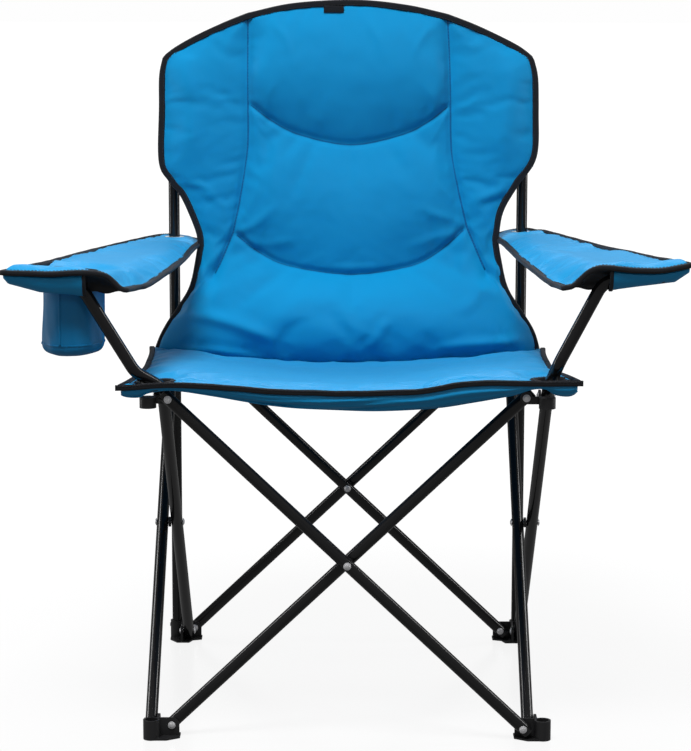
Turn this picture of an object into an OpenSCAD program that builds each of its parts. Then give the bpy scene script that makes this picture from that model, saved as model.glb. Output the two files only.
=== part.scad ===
// Folding camp chair with padded back, sling seat, two cloth armrests and a cup holder.
// X is the sitter's left to right as seen from the front, the front faces -Y, +Z is up.
// The floor is z = 0 and the middle between the four feet is x = 0, y = 0. Millimetres.

/* [Frame] */
// Outside diameter of every steel tube
tube_d = 16; // [14:0.5:22]
// Wall thickness of the steel tubes
tube_wall = 1; // [0.8:0.1:1.5]
// Distance of each corner socket from the middle, along X and along Y
corner = 255.5; // [230:0.5:300]
// Height of the lower rivets above the floor
foot_z = 16; // [15:0.5:24]
// Height of the upper rivets above the floor, open chair
hub_z = 451; // [380:1:480]
// Height of the top of the two back posts
post_top_z = 868; // [760:1:900]

/* [Joint castings] */
// Rivet distance inward from the corner socket
pin_in = 26; // [24:0.5:34]
// Tab plane distance inward from the corner socket
tab_in = 8; // [7:0.5:12]
// Tube axis distance from the tab plane
layer = 10; // [10:0.5:13]
// Thickness of the plastic tabs
tab_t = 3.2; // [2.4:0.2:3.2]
// Outside radius of the corner sockets
socket_r = 10.8; // [10.4:0.1:11.2]
// Height of the feet
foot_h = 26; // [25:0.5:32]

/* [Rivets] */
// Radius of the rivet shanks
rivet_r = 2.5; // [2:0.1:3]
// Radial clearance of the tube holes around the shanks
rivet_gap = 0.05; // [0.02:0.01:0.1]
// Radius of the domed rivet heads
rivet_head_r = 5; // [4:0.2:6]

/* [Arms] */
// Height of the upper bend of the arm tube, cup holder side
arm_z_cup = 598; // [560:1:640]
// Height of the upper bend of the arm tube, plain side
arm_z_plain = 606; // [560:1:640]
// Distance of the upper bend from the middle, cup holder side
arm_x_cup = 338; // [310:1:350]
// Distance of the upper bend from the middle, plain side
arm_x_plain = 324; // [310:1:350]
// Distance of the upper bend in front of the middle
arm_y = 270; // [262:1:284]
// Distance of the arm tube ends from the middle
arm_end_x = 397; // [390:1:426]
// Bend radius of the arm tubes
bend_r = 30; // [24:1:34]

/* [Cloth] */
// Thickness of the padded back
back_t = 6; // [5:0.5:10]
// Thickness of the padded seat
seat_t = 5; // [4:0.5:7]
// Half width of the back at its shoulders
back_w = 275; // [250:1:290]
// Height of the top of the back
back_top = 951; // [860:1:980]
// Half width of the back at its waist
waist_w = 221; // [200:1:240]
// Half width of the seat along its front edge
seat_w = 297; // [280:1:310]
// Backward slope of the seat in degrees
seat_fall = 2.4; // [0:0.2:4]
// Depth of the sag across the seat
seat_sag = 14; // [6:1:20]
// Distance of the armrest tips from the middle
arm_tip_x = 440; // [432:1:460]

/* [Cup holder] */
// Outside radius of the cup holder
cup_r = 40.5; // [38:0.5:44]
// Depth of the cup holder below the armrest
cup_depth = 106; // [90:1:120]

/* [Hidden] */
$fn = 64;
tr = tube_d / 2;
bore_r = tr - tube_wall;
piv = corner - pin_in;
tab = corner - tab_in;
outer = tab + layer;
inner = tab - layer;
span = 2 * piv;
rise = hub_z - foot_z;
bar_len = sqrt(span * span + rise * rise);
bar_deg = atan2(rise, span);
mid_z = (hub_z + foot_z) / 2;
tail = 8.8;
plug_t = 1.2;
seat_front_y = -275;
seat_rear_y = 203;
seam_y = -17.5;
seat_z = 467;
arm_bank = 5;
bank_x = 421;
cup_top = arm_z_cup + 17;
cup_x = -353;
cup_y = -220.5;
eye_r = 23;
back_tilt = 3;
back_y = 208;
back_z0 = 417;
steel = [0.06, 0.06, 0.07];
plastic = [0.09, 0.09, 0.1];
silver = [0.72, 0.73, 0.75];
blue = [0.11, 0.5, 0.78];
dark_blue = [0.06, 0.36, 0.6];
black = [0.03, 0.03, 0.035];

// ---------- helpers ----------

// Mirrors a part made for the +X +Y corner into the corner with signs sx, sy.
module at_corner(sx, sy) {
  translate([sx * corner, sy * corner, 0])
    mirror([sx < 0 ? 1 : 0, 0, 0])
      mirror([0, sy < 0 ? 1 : 0, 0])
        children();
}

// Cylinder along +Y, centred on the origin.
module rod_y(r, len) {
  rotate([90, 0, 0]) cylinder(r = r, h = len, center = true);
}

// Cylinder along +X, centred on the origin.
module rod_x(r, len) {
  rotate([0, 90, 0]) cylinder(r = r, h = len, center = true);
}

// Domed rivet head growing along +Z from z = 0.
module head() {
  rotate_extrude()
    polygon([[0, 0], [rivet_head_r, 0], [rivet_head_r, 0.7], [rivet_head_r - 0.5, 1.1],
      [rivet_head_r - 1.3, 1.1], [rivet_head_r - 2, 1.9], [rivet_head_r - 3.4, 2.3], [0, 2.4]]);
}

// Rivet along +Y from y = a to y = b, the faces it holds together, with both heads.
module rivet_y(a, b) {
  translate([0, (a + b) / 2, 0]) rod_y(rivet_r, b - a + 1);
  translate([0, b, 0]) rotate([-90, 0, 0]) head();
  translate([0, a, 0]) rotate([90, 0, 0]) head();
}

// Straight crossing bar along +X from pivot to pivot, cross drilled along Y.
module bar_solid() {
  difference() {
    translate([-tail, 0, 0]) rotate([0, 90, 0]) cylinder(r = tr, h = bar_len + 2 * tail);
    translate([-tail - 1, 0, 0]) rotate([0, 90, 0]) cylinder(r = bore_r, h = bar_len + 2 * tail + 2);
    for (s = [0, bar_len / 2, bar_len])
      translate([s, 0, 0]) rod_y(rivet_r + rivet_gap, tube_d + 2);
  }
}

// End plug at the origin: a lid towards -X and a stem towards +X.
module plug() {
  translate([-plug_t, 0, 0]) rotate([0, 90, 0]) cylinder(r = tr - 0.1, h = plug_t);
  translate([-0.5, 0, 0]) rotate([0, 90, 0]) cylinder(r = bore_r - 0.05, h = 5.1);
}

module bar_plugs_solid() {
  translate([-tail, 0, 0]) plug();
  translate([bar_len + tail, 0, 0]) rotate([0, 0, 180]) plug();
}

// Lays a bar in an X plane at depth y: dir = 1 rises towards +X, dir = -1 towards -X.
module in_xz(y, dir) {
  translate([-dir * piv, y, foot_z])
    mirror([dir < 0 ? 1 : 0, 0, 0])
      rotate([0, -bar_deg, 0])
        children();
}

// Lays a bar in a side plane at x: dir = 1 rises towards +Y, dir = -1 towards -Y.
module in_yz(x, dir) {
  translate([x, -dir * piv, foot_z])
    rotate([0, 0, 90 * dir])
      rotate([0, -bar_deg, 0])
        children();
}

// ---------- castings ----------

// Side view of a foot's tab, from the socket inward, as high as up at the socket.
module tab_outline(up) {
  translate([-pin_in, foot_z]) circle(r = 10);
  translate([-pin_in - 10, 0]) square([10, foot_z]);
  translate([-pin_in, 0]) square([pin_in, up]);
}

// Foot for the +X +Y corner, its socket centred on the origin. The tabs point inward.
module foot_solid() {
  difference() {
    union() {
      cylinder(r = socket_r, h = foot_h);
      translate([0, -tab_in + tab_t / 2, 0]) rotate([90, 0, 0]) linear_extrude(tab_t) tab_outline(foot_h);
      translate([-tab_in - tab_t / 2, 0, 0]) rotate([90, 0, 90]) linear_extrude(tab_t) tab_outline(foot_h);
      linear_extrude(2.6)
        polygon([[10, 4], [4, 10], [-20, 10], [-37, -1], [-37, -19], [-24, -24],
          [-19, -37], [-1, -37], [10, -20]]);
    }
    translate([0, 0, 4]) cylinder(r = tr + 0.05, h = foot_h);
    translate([-pin_in, 0, foot_z]) rod_y(rivet_r + rivet_gap, 40);
    translate([0, -pin_in, foot_z]) rod_x(rivet_r + rivet_gap, 40);
    translate([0, 0, 19]) rod_x(1.55, 40);
  }
}

// Upper casting: front = true is a hub under a seat corner, false is a collar round a post.
module upper_solid(front) {
  low = hub_z - 12;
  high = front ? hub_z + 2 : hub_z + 12;
  difference() {
    union() {
      translate([0, 0, low]) cylinder(r = socket_r, h = high - low);
      translate([0, -tab_in + tab_t / 2, 0]) rotate([90, 0, 0]) linear_extrude(tab_t) upper_outline(low, high);
      translate([-tab_in - tab_t / 2, 0, 0]) rotate([90, 0, 90]) linear_extrude(tab_t) upper_outline(low, high);
    }
    if (front)
      translate([0, 0, low - 1]) cylinder(r = tr, h = high - low - 3);
    else
      translate([0, 0, low - 1]) cylinder(r = tr + 0.35, h = high - low + 2);
    translate([-pin_in, 0, hub_z]) rod_y(rivet_r + rivet_gap, 40);
    translate([0, -pin_in, hub_z]) rod_x(rivet_r + rivet_gap, 40);
  }
}

module upper_outline(low, high) {
  translate([-pin_in, hub_z]) circle(r = 8);
  translate([-pin_in, low + 4]) square([pin_in, high - low - 4 - (high > hub_z + 8 ? 4 : 0)]);
}

// The two rivets of one casting at height z. a_out, b_out: the bar is outside the tab.
module corner_rivets(z, a_out, b_out) {
  near = tab_t / 2;
  far = layer + tr + 0.3;
  translate([-pin_in, -tab_in, z])
    rotate([0, 0, a_out ? 0 : 180]) rivet_y(-near, far);
  translate([-tab_in, -pin_in, z])
    rotate([0, 0, b_out ? -90 : 90]) rivet_y(-near, far);
}

module foot(sx, sy) {
  color(plastic) at_corner(sx, sy) foot_solid();
}

// ---------- frame nodes ----------

module foot_rear_left() { foot(-1, 1); }
module foot_rear_right() { foot(1, 1); }
module foot_front_left() { foot(-1, -1); }
module foot_front_right() { foot(1, -1); }

// The rear feet also hold the pin that keeps the post in its socket.
module post_pin() {
  translate([0, 0, 19]) {
    rod_x(1.5, 2 * socket_r + 0.4);
    for (s = [-1, 1])
      translate([s * (socket_r + 0.5), 0, 0]) rod_x(2.8, 0.8);
  }
}
module foot_rivets_rear_left() {
  color(silver) at_corner(-1, 1) {
    corner_rivets(foot_z, true, false);
    post_pin();
  }
}
module foot_rivets_rear_right() {
  color(silver) at_corner(1, 1) {
    corner_rivets(foot_z, false, true);
    post_pin();
  }
}
module foot_rivets_front_left() {
  color(silver) at_corner(-1, -1) corner_rivets(foot_z, false, true);
}
module foot_rivets_front_right() {
  color(silver) at_corner(1, -1) corner_rivets(foot_z, true, false);
}

module post(sx) {
  color(steel) translate([sx * corner, corner, 0]) difference() {
    translate([0, 0, 4.1]) cylinder(r = tr, h = post_top_z - 4.1);
    translate([0, 0, 3]) cylinder(r = bore_r, h = post_top_z);
    translate([0, 0, 19]) rod_x(1.55, tube_d + 2);
  }
}
module post_left() { post(-1); }
module post_right() { post(1); }

module post_cap(sx) {
  color(plastic) translate([sx * corner, corner, post_top_z]) {
    cylinder(r = tr, h = 2);
    translate([0, 0, -12]) cylinder(r = bore_r - 0.05, h = 12);
  }
}
module post_caps_left() { post_cap(-1); }
module post_caps_right() { post_cap(1); }

module rear_bar_a() { color(steel) in_xz(outer, 1) bar_solid(); }
module rear_bar_a_plugs() { color(plastic) in_xz(outer, 1) bar_plugs_solid(); }
module rear_bar_b() { color(steel) in_xz(inner, -1) bar_solid(); }
module rear_bar_b_plugs() { color(plastic) in_xz(inner, -1) bar_plugs_solid(); }

module front_bar_a() { color(steel) in_xz(-inner, 1) bar_solid(); }
module front_bar_a_plugs() { color(plastic) in_xz(-inner, 1) bar_plugs_solid(); }
module front_bar_b() { color(steel) in_xz(-outer, -1) bar_solid(); }
module front_bar_b_plugs() { color(plastic) in_xz(-outer, -1) bar_plugs_solid(); }

module side_bar_left() { color(steel) in_yz(-outer, 1) bar_solid(); }
module side_bar_left_plugs() { color(plastic) in_yz(-outer, 1) bar_plugs_solid(); }
module side_bar_right() { color(steel) in_yz(inner, 1) bar_solid(); }
module side_bar_right_plugs() { color(plastic) in_yz(inner, 1) bar_plugs_solid(); }

// Rivet through both bars where they cross, and the ring that keeps them apart.
module cross_rivet() { rivet_y(-layer - tr - 0.3, layer + tr + 0.3); }
module cross_ring() {
  difference() {
    rod_y(7, 2 * (layer - tr) - 0.8);
    rod_y(rivet_r + rivet_gap, 10);
  }
}

module rear_cross_rivet() { color(silver) translate([0, tab, mid_z]) cross_rivet(); }
module rear_spacer() { color(plastic) translate([0, tab, mid_z]) cross_ring(); }
module front_cross_rivet() { color(silver) translate([0, -tab, mid_z]) cross_rivet(); }
module front_spacer() { color(plastic) translate([0, -tab, mid_z]) cross_ring(); }
module side_cross_rivet_left() {
  color(silver) translate([-tab, 0, mid_z]) rotate([0, 0, 90]) cross_rivet();
}
module side_spacer_left() {
  color(plastic) translate([-tab, 0, mid_z]) rotate([0, 0, 90]) cross_ring();
}
module side_cross_rivet_right() {
  color(silver) translate([tab, 0, mid_z]) rotate([0, 0, 90]) cross_rivet();
}
module side_spacer_right() {
  color(plastic) translate([tab, 0, mid_z]) rotate([0, 0, 90]) cross_ring();
}

module collar_left() { color(plastic) at_corner(-1, 1) upper_solid(false); }
module collar_right() { color(plastic) at_corner(1, 1) upper_solid(false); }
module collar_rivets_left() {
  color(silver) at_corner(-1, 1) corner_rivets(hub_z, false, true);
}
module collar_rivets_right() {
  color(silver) at_corner(1, 1) corner_rivets(hub_z, true, false);
}
module hub_left() { color(plastic) at_corner(-1, -1) upper_solid(true); }
module hub_right() { color(plastic) at_corner(1, -1) upper_solid(true); }
module hub_rivets_left() {
  color(silver) at_corner(-1, -1) corner_rivets(hub_z, true, false);
}
module hub_rivets_right() {
  color(silver) at_corner(1, -1) corner_rivets(hub_z, false, true);
}

// ---------- arm legs ----------

function unit(v) = v / norm(v);
function turn(a, b) = acos(a * b);
function setback(a, b) = bend_r * tan(turn(a, b) / 2);

// Cylinder from p to q.
module rod(p, q, r) {
  d = q - p;
  translate(p)
    rotate([0, acos(d[2] / norm(d)), atan2(d[1], d[0])])
      cylinder(r = r, h = norm(d));
}

// Tube wall from p to q, a hair short at both ends so that it only meets its neighbours.
module tube(p, q) {
  d = unit(q - p) * 0.005;
  difference() {
    rod(p + d, q - d, tr);
    rod(p, q, bore_r);
  }
}

// Tube wall bent round corner c from direction a into direction b.
module bend(c, a, b) {
  n = unit(cross(a, b));
  x = unit(cross(a, n));
  o = c - a * setback(a, b) - x * bend_r;
  multmatrix([[x[0], a[0], n[0], o[0]], [x[1], a[1], n[1], o[1]], [x[2], a[2], n[2], o[2]], [0, 0, 0, 1]])
    rotate_extrude(angle = turn(a, b)) translate([bend_r, 0]) difference() {
      circle(r = tr);
      circle(r = bore_r);
    }
}

function arm_z(sx) = sx < 0 ? arm_z_cup : arm_z_plain;

// The five points of an arm leg: rear rivet, hub bend, outward bend, top bend, end.
function arm_pts(sx) = let(x = sx < 0 ? -inner : outer, cup = sx < 0)
  [[x, piv, foot_z],
   [x, -piv - 18 * cos(bar_deg), hub_z + 18 * sin(bar_deg)],
   [cup ? -271 : 270, -262, cup ? 486 : 500],
   [sx * (cup ? arm_x_cup : arm_x_plain), -arm_y, arm_z(sx)],
   [sx * arm_end_x, -arm_y - 6, arm_z(sx) + 5]];

module arm_leg(sx) {
  p = arm_pts(sx);
  d0 = unit(p[1] - p[0]);
  d1 = unit(p[2] - p[1]);
  d2 = unit(p[3] - p[2]);
  d3 = unit(p[4] - p[3]);
  color(steel) {
    difference() {
      tube(p[0] - d0 * tail, p[1] - d0 * setback(d0, d1));
      for (s = [0, bar_len / 2, bar_len])
        translate(p[0] + d0 * s) rod_x(rivet_r + rivet_gap, tube_d + 2);
    }
    bend(p[1], d0, d1);
    tube(p[1] + d1 * setback(d0, d1), p[2] - d1 * setback(d1, d2));
    bend(p[2], d1, d2);
    tube(p[2] + d2 * setback(d1, d2), p[3] - d2 * setback(d2, d3));
    bend(p[3], d2, d3);
    tube(p[3] + d3 * setback(d2, d3), p[4]);
  }
}
module arm_leg_left() { arm_leg(-1); }
module arm_leg_right() { arm_leg(1); }

module arm_plugs(sx) {
  p = arm_pts(sx);
  d0 = unit(p[1] - p[0]);
  d3 = unit(p[4] - p[3]);
  color(plastic) {
    rod(p[0] - d0 * (tail + plug_t), p[0] - d0 * tail, tr - 0.1);
    rod(p[0] - d0 * (tail + 0.5), p[0] - d0 * (tail - 4.6), bore_r - 0.15);
    rod(p[4], p[4] + d3 * 2, tr - 0.1);
    rod(p[4] - d3 * 12, p[4] + d3 * 0.5, bore_r - 0.15);
  }
}
module arm_leg_left_plugs() { arm_plugs(-1); }
module arm_leg_right_plugs() { arm_plugs(1); }

// ---------- back ----------

// Half outline of the back from the middle of the arch down to the middle of the lower edge.
function back_half() = [[0, back_top], [55, back_top - 5], [100, back_top - 16], [158, back_top - 42],
  [183, back_top - 49], [268, back_top - 92], [back_w, back_top - 108], [back_w, 712], [262, 688],
  [242, 664], [waist_w + 1, 608], [waist_w, 588], [230, 540], [243, 505], [262, 470], [268, 456],
  [226, 453], [150, 424], [0, back_z0]];
function grown(pts, m) = [for (p = pts) [p[0] * (1 + m / back_w), p[1] + m * (p[1] - 690) / 270]];
function whole(h) = concat(h, [for (i = [len(h) - 2 : -1 : 1]) [-h[i][0], h[i][1]]]);

// Stands an outline drawn in X and Z up as a leaning sheet, front face at the back plane.
module leaning(t) {
  translate([0, back_y + t / 2, back_z0])
    rotate([90 - back_tilt, 0, 0])
      linear_extrude(t)
        translate([0, -back_z0]) children();
}

module back_panel() {
  color(blue) leaning(back_t) polygon(whole(grown(back_half(), -8.2)));
}

module back_binding() {
  color(black) leaning(back_t + 2) difference() {
    polygon(whole(back_half()));
    polygon(whole(grown(back_half(), -8)));
  }
}

module back_sleeve(sx) {
  color(blue) translate([sx * corner, 0, 0]) difference() {
    union() {
      translate([0, corner, 712]) cylinder(r = tr + 2.4, h = post_top_z + 6 - 712);
      translate([-4, 238, 712]) cube([8, 14, post_top_z - 712]);
    }
    translate([0, corner, 700]) cylinder(r = tr + 0.6, h = post_top_z + 3.4 - 700);
  }
}
module back_sleeve_left() { back_sleeve(-1); }
module back_sleeve_right() { back_sleeve(1); }

module back_label() {
  color(black) translate([0, -back_t / 2 - 1.5, 0]) leaning(0.8) translate([-13, back_top - 19]) square([16, 7]);
}

// ---------- seat ----------

// Cross section of the seat in X and Z, sagging to the middle, thickness t.
module seat_section(w, t) {
  top = seat_z + t;
  polygon([[-w, top], [-215, top], [-110, top - seat_sag * 0.75], [0, top - seat_sag],
    [110, top - seat_sag * 0.75], [215, top], [w, top],
    [w, top - t], [215, top - t], [110, top - t - seat_sag * 0.75], [0, top - t - seat_sag],
    [-110, top - t - seat_sag * 0.75], [-215, top - t], [-w, top - t]]);
}

// Part of the seat from y0 to y1, sloping down backward from its front edge.
module seat_slab(y0, y1) {
  translate([0, seat_front_y, seat_z + seat_t]) rotate([-seat_fall, 0, 0])
    translate([0, y1 - seat_front_y, -seat_z - seat_t])
      rotate([90, 0, 0]) linear_extrude(y1 - y0) seat_section(seat_w, seat_t);
}

// Plan outline of the whole seat, narrower at the back.
module seat_plan() {
  polygon([[-seat_w, seat_front_y], [seat_w, seat_front_y], [seat_w - 14, -150], [seat_w - 18, 60],
    [seat_w - 26, seat_rear_y], [-seat_w + 26, seat_rear_y], [-seat_w + 18, 60], [-seat_w + 14, -150]]);
}

module eye_at(sx) {
  translate([sx < 0 ? -247 : 260, -246.5, 0]) children();
}

module seat_rear() {
  color(blue) intersection() {
    seat_slab(seam_y + 0.2, seat_rear_y);
    translate([0, 0, 400]) linear_extrude(100) seat_plan();
  }
}

module seat_front() {
  color(blue) difference() {
    intersection() {
      seat_slab(seat_front_y + 3, seam_y - 0.2);
      translate([0, 0, 400]) linear_extrude(100) seat_plan();
    }
    for (sx = [-1, 1])
      eye_at(sx) translate([0, 0, 440]) cylinder(r = eye_r + 2.5, h = 50);
  }
}

module seat_binding() {
  color(black) translate([0, seat_front_y + 2, 0]) rotate([90, 0, 0]) linear_extrude(3)
    seat_section(seat_w + 1, seat_t + 1);
}

module seat_valance() {
  color(dark_blue) translate([0, seat_front_y + 1.4, 0]) rotate([90, 0, 0]) linear_extrude(1.6)
    polygon([[-205, seat_z - 1], [-110, seat_z - 0.8 - seat_sag * 0.75], [0, seat_z - 0.8 - seat_sag],
      [110, seat_z - 0.8 - seat_sag * 0.75], [205, seat_z - 1], [196, 448], [110, 438], [0, 434],
      [-110, 438], [-196, 448]]);
}

module seat_eyelets() {
  color(silver) for (sx = [-1, 1]) eye_at(sx) difference() {
    translate([0, 0, seat_z - 1.5]) cylinder(r = eye_r + 2.4, h = seat_t + 2);
    translate([0, 0, seat_z - 2]) cylinder(r = eye_r, h = seat_t + 4);
  }
}

// ---------- armrests ----------

// Plan outline of the cup side armrest. The plain side is its mirror image.
module arm_plan() {
  polygon([[-arm_tip_x, -288], [-317, -288], [-302, -280], [-292, -288], [-281, -284], [-259, -196],
    [-231, 0], [-227, 200], [-227, 228], [-218, 230], [-219, 278], [-262, 288], [-288, 246], [-354, 0],
    [-395, -184]]);
}

// Banks an armrest of height top inward about its outer edge.
module banked(top) {
  translate([-bank_x, 0, top]) rotate([0, arm_bank, 0]) translate([bank_x, 0, 0]) children();
}

// Armrest on the -X side: the cloth and the sleeve that takes the arm tube.
module armrest_cloth(cup, top) {
  difference() {
    banked(top) union() {
      linear_extrude(4) arm_plan();
      difference() {
        translate([-432, -287.5, -27]) cube([82, 30, 29]);
        translate([-440, -285.7, -25.2]) cube([100, 26.4, 25.2]);
      }
    }
    translate([-corner, corner, 500]) cylinder(r = 15, h = 200);
    if (cup) {
      translate([cup_x, cup_y, 560]) cylinder(r = cup_r - 2, h = 100);
      translate([cup_x, cup_y, 560]) cylinder(r = cup_r + 0.3, h = cup_top - 9.7 - 560);
    }
  }
}

module armrest_left() { color(blue) armrest_cloth(true, cup_top); }
module armrest_right() { color(blue) mirror([1, 0, 0]) armrest_cloth(false, arm_z_plain + 17); }

// Ring on the post, in the hole of the armrest.
module arm_grommet(sx) {
  ring_z = arm_z(sx) + 14 - (bank_x - corner) * tan(arm_bank);
  color(silver) translate([sx * corner, corner, ring_z]) difference() {
    cylinder(r = 14.6, h = 9);
    translate([0, 0, -1]) cylinder(r = tr + 0.4, h = 12);
  }
}
module arm_grommet_left() { arm_grommet(-1); }
module arm_grommet_right() { arm_grommet(1); }

module cup_holder() {
  color(dark_blue) translate([cup_x, cup_y, 0]) difference() {
    translate([0, 0, cup_top - cup_depth]) cylinder(r = cup_r, h = cup_depth - 10);
    translate([0, 0, cup_top - cup_depth + 2]) cylinder(r = cup_r - 2, h = cup_depth);
  }
}

foot_rear_left();
foot_rear_right();
foot_front_left();
foot_front_right();
foot_rivets_rear_left();
foot_rivets_rear_right();
foot_rivets_front_left();
foot_rivets_front_right();
post_left();
post_right();
post_caps_left();
post_caps_right();
rear_bar_a();
rear_bar_a_plugs();
rear_bar_b();
rear_bar_b_plugs();
rear_cross_rivet();
rear_spacer();
collar_left();
collar_right();
collar_rivets_left();
collar_rivets_right();
arm_leg_left();
arm_leg_left_plugs();
arm_leg_right();
arm_leg_right_plugs();
side_bar_left();
side_bar_left_plugs();
side_bar_right();
side_bar_right_plugs();
side_cross_rivet_left();
side_cross_rivet_right();
side_spacer_left();
side_spacer_right();
hub_left();
hub_right();
hub_rivets_left();
hub_rivets_right();
front_bar_a();
front_bar_a_plugs();
front_bar_b();
front_bar_b_plugs();
front_cross_rivet();
front_spacer();
back_panel();
back_binding();
back_sleeve_left();
back_sleeve_right();
back_label();
seat_rear();
seat_front();
seat_binding();
seat_valance();
seat_eyelets();
armrest_left();
armrest_right();
cup_holder();
arm_grommet_left();
arm_grommet_right();
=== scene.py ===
import math

import bmesh
import bpy
import numpy as np
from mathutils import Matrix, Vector, noise
from mathutils.bvhtree import BVHTree


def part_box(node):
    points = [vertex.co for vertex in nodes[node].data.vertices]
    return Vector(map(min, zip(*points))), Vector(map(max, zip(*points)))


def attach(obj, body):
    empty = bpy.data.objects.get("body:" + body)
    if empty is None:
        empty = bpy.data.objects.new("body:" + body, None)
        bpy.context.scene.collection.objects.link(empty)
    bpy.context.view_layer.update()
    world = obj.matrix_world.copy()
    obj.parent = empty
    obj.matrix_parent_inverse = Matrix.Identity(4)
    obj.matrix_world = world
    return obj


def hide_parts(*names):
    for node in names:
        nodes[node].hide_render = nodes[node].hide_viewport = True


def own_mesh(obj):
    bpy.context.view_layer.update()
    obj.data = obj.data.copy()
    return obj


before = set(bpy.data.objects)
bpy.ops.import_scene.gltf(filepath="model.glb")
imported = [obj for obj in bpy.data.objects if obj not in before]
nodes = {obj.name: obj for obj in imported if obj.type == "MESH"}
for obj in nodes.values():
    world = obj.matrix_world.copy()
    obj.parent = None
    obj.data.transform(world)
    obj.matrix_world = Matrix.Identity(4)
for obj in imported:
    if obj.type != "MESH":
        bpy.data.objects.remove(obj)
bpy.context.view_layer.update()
scene = bpy.context.scene
scene.view_settings.view_transform = "Standard"

# ---------------------------------------------------------------- materials


def new_material(name):
    m = bpy.data.materials.new(name)
    m.use_nodes = True
    return m, m.node_tree, m.node_tree.nodes["Principled BSDF"]


def add(nt, kind, values=(), **settings):
    """Adds a shader node with its settings and the values of its sockets."""
    n = nt.nodes.new(kind)
    for k, v in settings.items():
        setattr(n, k, v)
    for k, v in dict(values).items():
        n.inputs[k].default_value = v
    return n


def speckle(nt, co, values):
    """A noise texture in the object's own coordinates."""
    n = add(nt, "ShaderNodeTexNoise", values)
    nt.links.new(co.outputs["Object"], n.inputs["Vector"])
    return n.outputs["Fac"]


def remap(nt, source, to_min=0.0, to_max=1.0, from_min=0.0, from_max=1.0, **settings):
    values = {"From Min": from_min, "From Max": from_max, "To Min": to_min, "To Max": to_max}
    r = add(nt, "ShaderNodeMapRange", values, **settings)
    nt.links.new(source, r.inputs["Value"])
    return r.outputs["Result"]


def combine(nt, operation, first, second):
    n = add(nt, "ShaderNodeMath", operation=operation)
    nt.links.new(first, n.inputs[0])
    nt.links.new(second, n.inputs[1])
    return n.outputs["Value"]


def relief(nt, bsdf, height, strength, depth):
    b = add(nt, "ShaderNodeBump", {"Strength": strength, "Distance": depth})
    nt.links.new(height, b.inputs["Height"])
    nt.links.new(b.outputs["Normal"], bsdf.inputs["Normal"])


def tone(nt, bsdf, low, high, factor):
    mix = add(nt, "ShaderNodeMix", data_type="RGBA")
    mix.inputs["A"].default_value = (*low, 1)
    mix.inputs["B"].default_value = (*high, 1)
    nt.links.new(factor, mix.inputs["Factor"])
    nt.links.new(mix.outputs["Result"], bsdf.inputs["Base Color"])


def weave(name, base, dark, axes, pitch=0.0011, rough=0.50, sheen=0.12, bump=0.35):
    """Coated plain-weave cloth. axes are the two object axes that the threads run along."""
    m, nt, bsdf = new_material(name)
    co = add(nt, "ShaderNodeTexCoord")
    bands = {"Scale": math.pi / 10 / pitch, "Distortion": 0.6, "Detail": 1.0, "Detail Scale": 2.0}
    waves = []
    for axis in axes:
        w = add(nt, "ShaderNodeTexWave", bands, wave_type="BANDS", bands_direction=axis)
        nt.links.new(co.outputs["Object"], w.inputs["Vector"])
        waves.append(w.outputs["Fac"])
    grid = combine(nt, "MULTIPLY", *waves)
    cloud = speckle(nt, co, {"Scale": 9.0, "Detail": 6.0})
    slub = speckle(nt, co, {"Scale": 420.0, "Detail": 2.0})
    fading = remap(nt, remap(nt, cloud, from_min=0.32, from_max=0.62), to_min=0.7)
    tone(nt, bsdf, dark, base, combine(nt, "MULTIPLY", fading, remap(nt, grid, to_min=0.45)))
    relief(nt, bsdf, combine(nt, "ADD", grid, slub), bump, 0.0002)
    nt.links.new(remap(nt, cloud, rough - 0.07, rough + 0.07), bsdf.inputs["Roughness"])
    bsdf.inputs["Sheen Weight"].default_value = sheen
    bsdf.inputs["Sheen Roughness"].default_value = 0.42
    bsdf.inputs["Sheen Tint"].default_value = (0.85, 0.94, 1, 1)
    bsdf.inputs["Specular IOR Level"].default_value = 0.38
    return m


def paint(name, base, rough, orange, wear=(0.016, 0.016, 0.017)):
    """Powder coat: fine orange peel, slightly uneven gloss, a paler tone on sharp edges."""
    m, nt, bsdf = new_material(name)
    co = add(nt, "ShaderNodeTexCoord")
    relief(nt, bsdf, speckle(nt, co, {"Scale": 650.0, "Detail": 3.0}), orange, 0.0001)
    cloud = speckle(nt, co, {"Scale": 24.0, "Detail": 8.0})
    gloss = remap(nt, cloud, rough, rough + 0.12, 0.35, 0.7)
    nt.links.new(gloss, bsdf.inputs["Roughness"])
    edges = add(nt, "ShaderNodeNewGeometry").outputs["Pointiness"]
    tone(nt, bsdf, base, wear, remap(nt, edges, from_min=0.60, from_max=0.80))
    return m


def steel(name, base, rough):
    """Plated steel with a fine grain."""
    m, nt, bsdf = new_material(name)
    grain = speckle(nt, add(nt, "ShaderNodeTexCoord"), {"Scale": 900.0, "Detail": 4.0})
    nt.links.new(remap(nt, grain, rough, rough + 0.2), bsdf.inputs["Roughness"])
    relief(nt, bsdf, grain, 0.15, 0.0001)
    tone(nt, bsdf, [c * 0.75 for c in base], base, grain)
    bsdf.inputs["Metallic"].default_value = 0.6
    return m


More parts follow.
